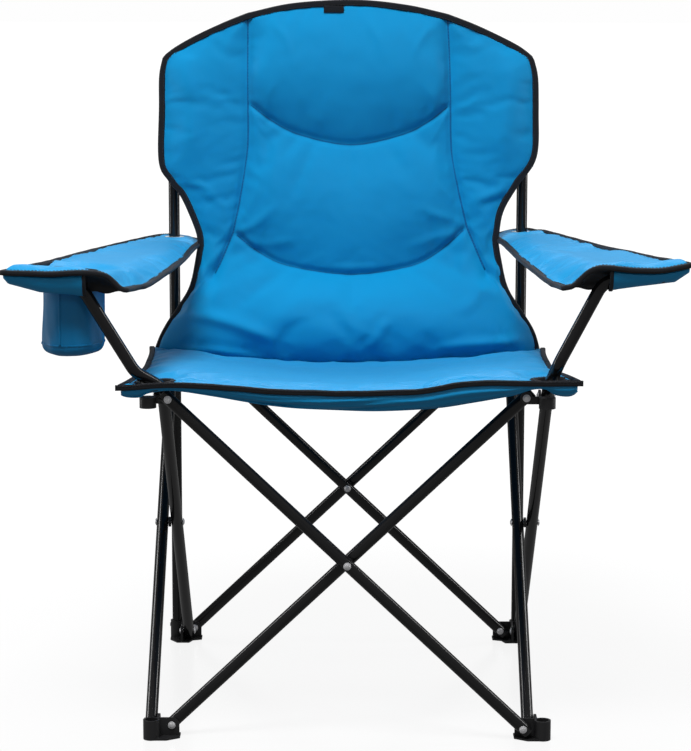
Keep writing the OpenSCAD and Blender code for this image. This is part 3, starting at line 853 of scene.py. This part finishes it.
press(
    seat,
    [
        ((-0.225, -0.232), (-0.10, -0.15), 0.008, 0.0022), ((-0.235, -0.225), (-0.17, -0.10), 0.008, 0.0022),
        ((0.232, -0.232), (0.11, -0.15), 0.008, 0.0022), ((0.240, -0.222), (0.18, -0.10), 0.008, 0.0022),
        ((-0.15, -0.268), (-0.10, -0.243), 0.006, 0.0016), ((0.15, -0.268), (0.11, -0.243), 0.006, 0.0018),
        ((-0.24, 0.17), (-0.12, 0.08), 0.010, 0.0022), ((0.24, 0.17), (0.12, 0.08), 0.010, 0.0022),
    ],
    XY, 2, normals(seat)[:, 2] > 0, 1,
)
co = coords(seat)
co[:, 2] += 0.0009 * wobble(co, 24, 8.0)
set_coords(seat, co)
for ex, ey in EYES:
    cut_hole(seat, ex, ey, 0.47, EYE_R, 0.08, 48)
seat_tree = tree_of(seat)


def cut_half(obj, name, keep_front):
    """Copies the front or rear half of the seat, closing the cut with a flat face."""
    me = obj.data.copy()
    half_obj = bpy.data.objects.new(name, me)
    scene.collection.objects.link(half_obj)
    bm = bmesh.new()
    bm.from_mesh(me)
    geom = bm.verts[:] + bm.edges[:] + bm.faces[:]
    plane_y = SPLIT_Y + (-0.0001 if keep_front else 0.0001)
    res = bmesh.ops.bisect_plane(
        bm, geom=geom, plane_co=(0, plane_y, 0), plane_no=(0, 1, 0),
        clear_outer=keep_front, clear_inner=not keep_front,
    )
    rim_edges = [e for e in res["geom_cut"] if isinstance(e, bmesh.types.BMEdge)]
    caps = bmesh.ops.contextual_create(bm, geom=rim_edges)["faces"]
    bmesh.ops.recalc_face_normals(bm, faces=bm.faces)
    for f in bm.faces:
        f.smooth = True
    for f in caps:
        f.smooth = False
        for e in f.edges:
            e.smooth = False
    bm.to_mesh(me)
    bm.free()
    return half_obj


seat_rear = cut_half(seat, "seat_rear_pad", False)
seat_front = cut_half(seat, "seat_front_pad", True)
bpy.data.objects.remove(seat, do_unlink=True)


def on_seat(points):
    return drop_on(seat_tree, [(p[0], p[1], 0.47) for p in points], (0, 0, -1), 0.0)


def circle(centre, radius, count):
    """Evenly spaced points of a circle in X and Y, and its inward directions in space."""
    a = np.linspace(0, 2 * math.pi, count + 1)[:-1]
    out = np.stack([np.cos(a), np.sin(a)], 1)
    return np.array(centre) + radius * out, np.c_[-out, np.zeros(count)]


# black binding along the front edge and both sides, with ears at the front corners
def strip(name, path, width, thick):
    return sweep(name, path, rounded(width, thick, 0.0019), (0, 0, 1), MAT["tape"])


ears = (-0.2955, -0.2745, 0.4675), (0.2995, -0.2745, 0.4745)
front_path = even(np.vstack([ears[0], seat_mid[0] + np.array((0, -0.0012, 0)), ears[1]]), 170)
front_path[:, 2] += 0.0007 * wobble(front_path, 34, 4.0)
front_tape = strip("seat_front_tape", front_path, 0.0074, 0.0044)
side_tapes_front = []
side_tapes_rear = []
for sx, edge in ((-1, seat_mid[:, 0]), (1, seat_mid[:, -1])):
    cut_y = np.argmax(edge[:, 1] > SPLIT_Y)
    path_f = even(edge[1:cut_y], 60)
    path_f[-1, 1] = SPLIT_Y - 0.0002
    path_r = even(edge[cut_y:-3], 60)
    path_r[0, 1] = SPLIT_Y + 0.0002
    side_tapes_front.append(strip(f"seat_side_tape_f{sx}", path_f, 0.0066, 0.0080))
    side_tapes_rear.append(strip(f"seat_side_tape_r{sx}", path_r, 0.0066, 0.0080))
front_stitch = stitches(
    "seat_front_stitch", front_path + np.array((0, -0.0024, 0.0022)), (0, -1, 0), MAT["black_thread"]
)
roll_pts, roll_n = on_seat(roll_line)
roll_stitch = stitches("seat_roll_stitch", roll_pts[1:-1], roll_n[1:-1], MAT["thread"])
seat_tape = join("seat_front_binding", [front_tape, front_stitch] + side_tapes_front)
seat_tape_rear = join("seat_rear_binding", side_tapes_rear)


def seat_settle(obj, half_name, nodes_replaced, slot):
    anchor = (-0.2555, 0.215, 0.467) if half_name == "seat_rear_half" else (-0.248, -0.25, 0.467)
    return settle(obj, half_name, nodes_replaced, slot, anchor=anchor)


# rings sewn round the holes
rings = []
for k, eye in enumerate(EYES):
    loop, inward_dir = circle(eye, EYE_R + 0.0002, 72)
    probe, _ = on_seat(circle(eye, EYE_R + 0.0052, 72)[0])
    pts = np.c_[loop, probe[:, 2] - 0.0030]
    ring_section = rounded(0.0044, 0.0090, 0.0020)
    rings.append(sweep(f"eye_tape_{k}", pts, ring_section, inward_dir, MAT["tape"], closed=True))
    p3, _ = on_seat(circle(eye, EYE_R + 0.0030, 72)[0])
    p3 = np.vstack([p3, p3[:1]]) + np.array((0, 0, 0.0008))
    rings.append(
        stitches(f"eye_stitch_{k}", p3, (0, 0, 1), MAT["black_thread"], length=0.0024, gap=0.0012, width=0.0014)
    )
eye_rings = join("seat_eye_rings", rings)

# the single cloth that shows below the front binding, with its two corner flaps
top_pts = front_path[2:-2] + np.array((0, 0.0012, -0.0028))
low_pts = line(
    [
        (-0.294, 0.4625), (-0.284, 0.4555), (-0.266, 0.4545), (-0.255, 0.4600), (-0.232, 0.4640), (-0.209, 0.4625),
        (-0.170, 0.4560), (-0.109, 0.4455), (-0.049, 0.4395), (0.025, 0.4370), (0.109, 0.4400), (0.160, 0.4475),
        (0.208, 0.4570), (0.233, 0.4655), (0.252, 0.4665), (0.266, 0.4580), (0.286, 0.4570), (0.2965, 0.4690),
    ],
    166,
)
vx = top_pts[:, 0]
low_z = np.interp(vx, low_pts[:, 0], low_pts[:, 1])
fall = top_pts[:, 2] - low_z
full = np.clip(fall / 0.02, 0, 1)  # 1 where the strip is at least 20 mm high
face = []
for t in np.linspace(0, 1, 15):
    y = top_pts[:, 1] + 0.0005 - 0.0035 * np.sin(math.pi * min(1, t * 1.15)) * np.clip(fall / 0.02, 0.1, 1)
    y = y + 0.010 * t**2 * full
    # long flat wrinkles that run along the edge
    waves = np.sin(t * 15 + vx * 26 + 2.2 * np.sin(vx * 17))
    y = y + 0.0011 * waves * full * (0.3 + t) * (t > 0)
    y = y + 0.0007 * np.sin(t * 31 - vx * 44 + 1.3) * full * t
    face.append(np.stack([vx, y, top_pts[:, 2] * (1 - t) + low_z * t], 1))
face = np.array(face)
reverse = face + np.array((0, 0.0010, 0))
valance, _, _ = closed_pad("seat_valance_cloth", face[::-1], reverse[::-1], MAT["cloth_dark"])
hem_path = face[-1] + np.array((0, 0.0003, 0.0004))
hem = sweep("valance_hem", hem_path, rounded(0.0022, 0.0018, 0.0008), (0, 0, 1), MAT["cloth_dark"])
valance = join("seat_valance_cloth", [valance, hem])

# webbing tabs that tie the rear corners to the sliding collars
tabs = []
for sx in (-1, 1):
    route = [(0.252, 0.186, 0.4430), (0.254, 0.205, 0.4440), (POST, 0.224, 0.4480), (POST, 0.2405, 0.4500)]
    path = line([(x * sx, y, z) for x, y, z in route], 24)
    tabs.append(sweep(f"seat_tab_{sx}", path, rounded(0.0200, 0.0016, 0.0007), (1, 0, 0), MAT["tape"]))
tabs = join("seat_corner_tabs", tabs)

seat_settle(seat_rear, "seat_rear_half", ["seat_rear"], "blue_cloth")
seat_settle(seat_front, "seat_front_half", ["seat_front"], "blue_cloth")
seat_settle(seat_tape, "seat_front_half", ["seat_binding"], "binding")
seat_settle(seat_tape_rear, "seat_rear_half", [], "binding")
seat_settle(roll_stitch, "seat_front_half", [], "blue_cloth")
seat_settle(eye_rings, "seat_front_half", ["seat_eyelets"], "binding")
seat_settle(valance, "seat_front_half", ["seat_valance"], "dark_blue_cloth")
seat_settle(tabs, "seat_rear_half", [], "binding")
declare_sheet(seat_tape, 0.045, 1.12)
declare_sheet(seat_tape_rear, 0.034, 0.44)
declare_sheet(valance, 0.045, 0.60)
declare_sheet(tabs, 0.0215, 0.115)

# ---------------------------------------------------------------- armrests

CUP = (-0.353, -0.2205)  # middle of the cup holder
ARM_NU, ARM_NV = 33, 91
CUP_HOLE_R = 0.0385
POST_HOLE_R = 0.0148
# outlines: outer and inner side from front to rear, front from outside inward, and rear end
ARM_LINES = {
    "left": (
        [
            (-0.437, -0.286, 0.6160), (-0.416, -0.245, 0.6170), (-0.393, -0.19, 0.6165), (-0.354, 0.0, 0.6115),
            (-0.290, 0.243, 0.6060), (-0.263, 0.288, 0.6040),
        ],
        [
            (-0.279, -0.283, 0.5935), (-0.268, -0.23, 0.5905), (-0.257, -0.19, 0.5900), (-0.231, 0.0, 0.5955),
            (-0.2225, 0.17, 0.5970), (-0.2170, 0.230, 0.5975), (-0.219, 0.278, 0.5980),
        ],
        [
            (-0.437, -0.286, 0.6160), (-0.405, -0.288, 0.6150), (-0.370, -0.288, 0.6145), (-0.340, -0.288, 0.6160),
            (-0.316, -0.288, 0.6150), (-0.302, -0.285, 0.6110), (-0.292, -0.284, 0.6015), (-0.286, -0.284, 0.5950),
            (-0.279, -0.283, 0.5935),
        ],
        [(-0.263, 0.288, 0.6040), (-0.238, 0.286, 0.6000), (-0.219, 0.278, 0.5980)],
    ),
    "right": (
        [
            (0.433, -0.286, 0.6270), (0.418, -0.245, 0.6265), (0.397, -0.19, 0.6250), (0.377, -0.08, 0.6200),
            (0.352, 0.02, 0.6165), (0.284, 0.245, 0.6165), (0.263, 0.288, 0.6150),
        ],
        [
            (0.271, -0.283, 0.5970), (0.266, -0.23, 0.5945), (0.259, -0.19, 0.5945), (0.238, 0.0, 0.6000),
            (0.2250, 0.17, 0.6045), (0.2175, 0.230, 0.6060), (0.219, 0.278, 0.6070),
        ],
        [
            (0.433, -0.286, 0.6270), (0.415, -0.288, 0.6235), (0.392, -0.288, 0.6200), (0.360, -0.288, 0.6205),
            (0.338, -0.288, 0.6230), (0.318, -0.287, 0.6235), (0.303, -0.285, 0.6180), (0.292, -0.284, 0.6080),
            (0.283, -0.284, 0.5995), (0.271, -0.283, 0.5970),
        ],
        [(0.263, 0.288, 0.6150), (0.238, 0.286, 0.6110), (0.219, 0.278, 0.6070)],
    ),
}
# lower edge of the pocket (distance from the middle, height), and of the lining
POCKET_LOW = {
    "left": ((0.319, 0.345, 0.389, 0.429, 0.436), (0.5805, 0.5860, 0.5895, 0.6000, 0.6090)),
    "right": ((0.318, 0.337, 0.368, 0.413, 0.432), (0.5890, 0.5940, 0.5985, 0.6040, 0.6170)),
}
LINING_LOW = {"left": 0.5870, "right": 0.5930}


def cloth_between(name, grid, thickness, side, material):
    """A single cloth: a grid of points and the same grid moved by its thickness."""
    order = slice(None) if side < 0 else slice(None, None, -1)
    reverse = grid + np.array(thickness)
    return closed_pad(name, grid[:, order], reverse[:, order], material)[0]


def armrest(side):
    """side -1 has the cup holder. Returns the pad."""
    cup = side < 0
    label = "left" if cup else "right"
    outer, inner, front, back = ARM_LINES[label]
    o_l, i_l = line(outer, ARM_NV), line(inner, ARM_NV)
    f_l, b_l = line(front, ARM_NU), line(back, ARM_NU)
    grid = coons(o_l, i_l, f_l, b_l) if cup else coons(i_l, o_l, f_l[::-1], b_l[::-1])
    g = grid.reshape(-1, 3)
    post = np.array((POST * side, POST))
    edges = (grid[0], grid[-1], grid[:, 0], grid[:, -1])
    d_edge = np.min([distance(g[:, :2], e[:, :2]) for e in edges], 0)
    # the cloth rises over the end of the arm tube and dips behind it
    over = step((g[:, 0] * side - 0.318) / 0.03)
    ridge_z = 0.0060 * np.exp(-(((g[:, 1] + 0.271) / 0.012) ** 2)) * over
    if cup:
        d_cup = np.linalg.norm(g[:, :2] - CUP, axis=1)
        ridge_z -= 0.0055 * step((0.062 - d_cup) / 0.025) * step((g[:, 1] + 0.270) / 0.012)
    g[:, 2] += ridge_z * step(d_edge / 0.004)
    g[:, 2] -= 0.004 * step(d_edge / 0.05) * np.exp(-(((g[:, 1] - 0.02) / 0.12) ** 2))
    # it lies on the ring round the post
    d_post = np.linalg.norm(g[:, :2] - post, axis=1)
    ring_level = float(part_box(f"arm_grommet_{label}")[1][2]) - 0.0012
    pull = step((0.040 - d_post) / 0.025)
    g[:, 2] = g[:, 2] * (1 - pull) + ring_level * pull
    d_hole = d_post - 0.015
    if cup:
        d_hole = np.minimum(d_hole, d_cup - CUP_HOLE_R)
    d_hole = np.clip(d_hole, 0, 1)
    d_all = np.minimum(d_edge, d_hole)
    half = half_thickness(d_all, 0.0012, 0.0020, 0.010, ARM_NV, ARM_NU)
    mid = g.reshape(ARM_NV, ARM_NU, 3)
    pad, idx_f, idx_b = closed_pad(f"armrest_{label}_pad", mid + half * up, mid - half * up, MAT["cloth_xy"])
    pinned = pin(pad, idx_f, idx_b, (d_hole < 0.004).reshape(ARM_NV, ARM_NU))
    puff(pad, pinned, 2.0, 14, 0.0026, grow=0.02)
    subdivide(pad)
    co = coords(pad)
    co[:, 2] += 0.0006 * wobble(co, 30, 11.0 + side) + 0.0010 * wobble(co * (1, 0.45, 1), 22, 2.0 + side)
    set_coords(pad, co)
    cut_hole(pad, post[0], post[1], 0.60, POST_HOLE_R, 0.2, 64)
    if cup:
        cut_hole(pad, CUP[0], CUP[1], 0.60, CUP_HOLE_R, 0.2, 64)
    shade_smooth(pad.data)

    # binding all round
    loop = np.vstack([mid[0], mid[1:, -1], mid[-1, -2::-1], mid[-2:0:-1, 0]])
    loop = even(np.vstack([loop, loop[:1]]), 281)[:-1]
    loop[:, 2] += 0.0005 * wobble(loop, 36, 6.0 + side)
    inward = unit(np.cross(up, unit(np.roll(loop, -1, 0) - np.roll(loop, 1, 0))))
    k_mid = np.argmin(np.abs(loop[:, 1]))
    if (np.array((0.31 * side, 0.0)) - loop[k_mid, :2]) @ inward[k_mid, :2] < 0:
        inward = -inward
    section = [(x + 0.0016, y) for x, y in rounded(0.0084, 0.0066, 0.0026)]
    tape = sweep(f"armrest_{label}_tape", loop, section, inward, MAT["tape"], closed=True)
    st_path = loop + inward * 0.0042 + np.array((0, 0, 0.0033))
    st_path = np.vstack([st_path, st_path[:1]])
    parts = [tape, stitches(f"armrest_{label}_stitch", st_path, (0, 0, 1), MAT["black_thread"])]
    if cup:
        xy, inward_dir = circle(CUP, CUP_HOLE_R, 96)
        beside = [(x, y, 0.65) for x, y in circle(CUP, 0.042, 96)[0]]
        probe, _ = drop_on(tree_of(pad), beside, (0, 0, -1), 0)
        pts = np.c_[xy, probe[:, 2] - 0.0018]
        hole_section = rounded(0.0040, 0.0060, 0.0018)
        parts.append(sweep("cup_hole_tape", pts, hole_section, inward_dir, MAT["tape"], closed=True))
    tape = join(f"armrest_{label}_binding", parts)

    # pocket under the front edge that takes the end of the tube
    across = np.argsort(np.abs(f_l[:, 0]))
    front_x, front_y, front_z = np.abs(f_l[across, 0]), f_l[across, 1], f_l[across, 2]
    xs = np.linspace(0.434 if cup else 0.430, 0.333, 46)
    edge_y, edge_z = np.interp(xs, front_x, front_y), np.interp(xs, front_x, front_z)
    low_z = np.interp(xs, *POCKET_LOW[label])
    rows = []
    for t in np.linspace(0, 1, 19):
        y = edge_y + 0.0020 + 0.0145 * (1 - math.cos(t * math.pi)) + 0.0006 * np.sin(xs * 90 + t * 5)
        rise = math.sin(t * math.pi) ** 0.8 if 0 < t < 1 else 0.0
        rows.append(np.stack([xs * side, y, (edge_z - 0.0030) * (1 - rise) + low_z * rise], 1))
    rows = np.array(rows)
    pocket = cloth_between(f"armrest_{label}_pocket", rows, (0, 0, 0.0010), side, MAT["cloth_dark"])
    mouth = rows[:, -1] + np.array((-0.001 * side, 0, 0))
    mouth_tape = sweep(f"pocket_{label}_mouth", mouth, rounded(0.0050, 0.0024, 0.0011), (1, 0, 0), MAT["tape"])

    # black lining that hangs behind the tube under the arched front corner
    xs = np.linspace(0.342, 0.287 if cup else 0.281, 30)
    top_z = np.interp(xs, front_x, front_z) - 0.0030
    low_z = np.minimum(top_z - 0.0015, LINING_LOW[label] + 0.0015 * np.sin(xs * 200))
    rows = []
    for t in np.linspace(0, 1, 13):
        y = -0.2835 + 0.030 * math.sin(min(1.0, t * 1.3) * math.pi / 2) + 0.0008 * np.sin(xs * 120 + t * 4)
        rows.append(np.stack([xs * side, y, top_z * (1 - t) + low_z * t], 1))
    lining = cloth_between(f"armrest_{label}_lining", np.array(rows), (0, 0.0010, 0), side, MAT["lining"])

    body = f"{label}_armrest"
    arm = dict(axis=(0, 1, 0), anchor=(0.0, -0.27, 0.6), keep=0.35)
    settle(pad, body, [f"armrest_{label}"], "blue_cloth", **arm)
    settle(tape, body, [], "binding", **arm)
    declare_sheet(tape, 0.044 if cup else 0.036, 1.50)
    settle(pocket, body, [], "dark_blue_cloth", **arm)
    declare_sheet(pocket, 0.075, 0.115)
    settle(mouth_tape, body, [], "binding", **arm)
    declare_sheet(mouth_tape, 0.0105, 0.075)
    settle(lining, body, [], "binding", **arm)
    declare_sheet(lining, 0.045, 0.062)
    return pad


left_pad = armrest(-1)
armrest(1)

# cup pouch: an open bag, a little slack, with a rounded bottom, in the blue darkened as painted shade
N_A, N_H = 72, 34
POUCH_DEPTH, CORNER_R, WALL = 0.0985, 0.014, 0.0011
ring_rows = []
for t in np.linspace(0, 1, N_H):
    depth = t * POUCH_DEPTH
    close = max(0.0, (depth - (POUCH_DEPTH - CORNER_R)) / CORNER_R)
    r = 0.0400 - 0.0012 * math.sin(t * math.pi) - CORNER_R * (1 - math.sqrt(max(0.0, 1 - min(close, 1) ** 2)))
    row = []
    for k in range(N_A):
        a = 2 * math.pi * k / N_A
        sag = 1 + 0.034 * math.sin(3 * a + 1.0 + 2.6 * t) * math.sin(math.pi * t)
        sag += 0.016 * math.sin(7 * a + 4 * t) + 0.010 * math.sin(13 * a - 7 * t) * t
        x = CUP[0] + r * sag * math.cos(a) * (1.0 + 0.02 * t)
        y = CUP[1] + r * sag * 0.97 * math.sin(a)
        row.append((x, y, 0.6035 - depth + 0.002 * math.sin(a + 0.6) * t))
    ring_rows.append(row)
ring_rows = np.array(ring_rows)
centre = ring_rows[-1].mean(0)
bottom = []
for share in (0.82, 0.6, 0.4, 0.2):
    ring = centre + (ring_rows[-1] - centre) * share
    ring[:, 2] += (-0.0022 + 0.0012 * np.sin(np.linspace(0, 6 * math.pi, N_A))) * (1 - share)
    bottom.append(ring)
outside = np.vstack([ring_rows, np.array(bottom)])
radial = unit(outside - outside.mean(1)[:, None, :])
inside = outside - radial * WALL
inside[:, :, 2] += np.linspace(0, WALL, len(outside))[:, None]
tip = outside[-1].mean(0)
verts = np.vstack([outside.reshape(-1, 3), inside.reshape(-1, 3), [tip], [tip + np.array((0, 0, WALL))]])
off = len(outside) * N_A
walls = quads(len(outside), N_A)
faces = [(a, d, c, b) for a, b, c, d in walls] + [tuple(off + q for q in quad) for quad in walls]
last = off - N_A
for k in range(N_A):
    k2 = (k + 1) % N_A
    faces.append((k, k2, off + k2, off + k))
    faces.append((last + k, 2 * off, last + k2))
    faces.append((off + last + k, off + last + k2, 2 * off + 1))
pouch = make("cup_pouch", verts, faces, MAT["cloth_painted_shade"])
face_outward(pouch)
subdivide(pouch)
# welt round the bottom and the side seam
low = N_H - 6
welt = sweep(
    "cup_welt", ring_rows[low] + radial[low] * 0.0004, rounded(0.0008, 0.0022, 0.0004), radial[low],
    MAT["cloth_painted_shade"], closed=True,
)
seam_side = radial[: N_H - 5, 50]
side_seam = sweep(
    "cup_side_seam", ring_rows[:-5, 50] + seam_side * 0.0005, rounded(0.0009, 0.0024, 0.0004), seam_side,
    MAT["cloth_painted_shade"],
)
pouch = join("cup_pouch", [pouch, welt, side_seam])
settle(pouch, "left_armrest", ["cup_holder"], "dark_blue_cloth", axis=(0, 0, 1), anchor=(0, 0, 0.604), keep=0.35)
declare_sheet(pouch, 0.20, 0.25)

# ---------------------------------------------------------------- floor, light, camera

m, nt, bsdf = new_material("floor_white")
co = add(nt, "ShaderNodeTexCoord")
sheen = remap(nt, speckle(nt, co, {"Scale": 3.0}), 0.16, 0.24)
nt.links.new(sheen, bsdf.inputs["Roughness"])
bsdf.inputs["Base Color"].default_value = (0.07, 0.07, 0.0705, 1)
bsdf.inputs["Specular IOR Level"].default_value = 0.35
bsdf.inputs["Emission Color"].default_value = (1, 1, 1, 1)
# a little darker near the object: painted shadow under it
reach = add(nt, "ShaderNodeVectorMath", operation="LENGTH")
nt.links.new(co.outputs["Object"], reach.inputs[0])
glow_with_painted_shadow = remap(nt, reach.outputs["Value"], 0.865, 0.985, 0.35, 2.2, interpolation_type="SMOOTHSTEP")
nt.links.new(glow_with_painted_shadow, bsdf.inputs["Emission Strength"])
S, LOW = 60.0, -0.0004
corners = [(-S, -S, LOW), (S, -S, LOW), (S, S, LOW), (-S, S, LOW)]
floor = make("floor", corners, [(0, 1, 2, 3)], m, smooth=False)

# pale backdrop far away, only seen by the camera
m, nt, bsdf = new_material("backdrop_white")
bsdf.inputs["Base Color"].default_value = (0, 0, 0, 1)
bsdf.inputs["Specular IOR Level"].default_value = 0
bsdf.inputs["Emission Color"].default_value = (1, 1, 1, 1)
bsdf.inputs["Emission Strength"].default_value = 0.99
DOME_R, DOME_ROWS, DOME_SIDES = 55, 13, 48
dome = []
for j in range(DOME_ROWS):
    e = math.radians(7.5 * j - 2)
    for k in range(DOME_SIDES):
        a = 2 * math.pi * k / DOME_SIDES
        dome.append((DOME_R * math.cos(e) * math.cos(a), DOME_R * math.cos(e) * math.sin(a), DOME_R * math.sin(e)))
dome_faces = [(a, d, c, b) for a, b, c, d in quads(DOME_ROWS, DOME_SIDES)]
backdrop = make("backdrop", dome, dome_faces, m)
for o in (floor, backdrop):
    o.visible_diffuse = o.visible_glossy = False
backdrop.visible_shadow = False

world = bpy.data.worlds.new("studio")
scene.world = world
world.use_nodes = True
bg = world.node_tree.nodes["Background"]
bg.inputs["Color"].default_value = (1.0, 1.0, 1.0, 1)
bg.inputs["Strength"].default_value = 0.19


def area_light(name, place, target, size, power, size_y):
    light = bpy.data.lights.new(name, "AREA")
    light.energy = power
    light.size = size
    light.shape = "RECTANGLE"
    light.size_y = size_y
    o = bpy.data.objects.new(name, light)
    scene.collection.objects.link(o)
    o.location = place
    o.rotation_euler = (Vector(target) - Vector(place)).to_track_quat("-Z", "Y").to_euler()
    return o


key = area_light("key", (-0.45, -1.25, 3.4), (0, 0, 0.5), 1.1, 136, 1.0)
key.visible_glossy = False
area_light("top_back", (0.2, 1.5, 2.9), (0, 0, 0.5), 1.8, 34, 1.0)
area_light("front_card", (0.5, -3.0, 2.3), (0, 0, 0.3), 0.6, 7, 0.4)
for sx in (-1, 1):
    area_light(f"strip_{'left' if sx < 0 else 'right'}", (2.3 * sx, 0.35, 1.1), (0, 0, 0.45), 0.3, 16, 2.2)

cam_data = bpy.data.cameras.new("camera")
cam = bpy.data.objects.new("camera", cam_data)
scene.collection.objects.link(cam)
cam.location = CAM
cam.rotation_euler = (math.radians(90 - 9.06), math.radians(-0.115), 0)
cam_data.lens = 118.9
cam_data.sensor_width = 36
cam_data.shift_x = -0.0039
cam_data.clip_end = 100
scene.camera = cam
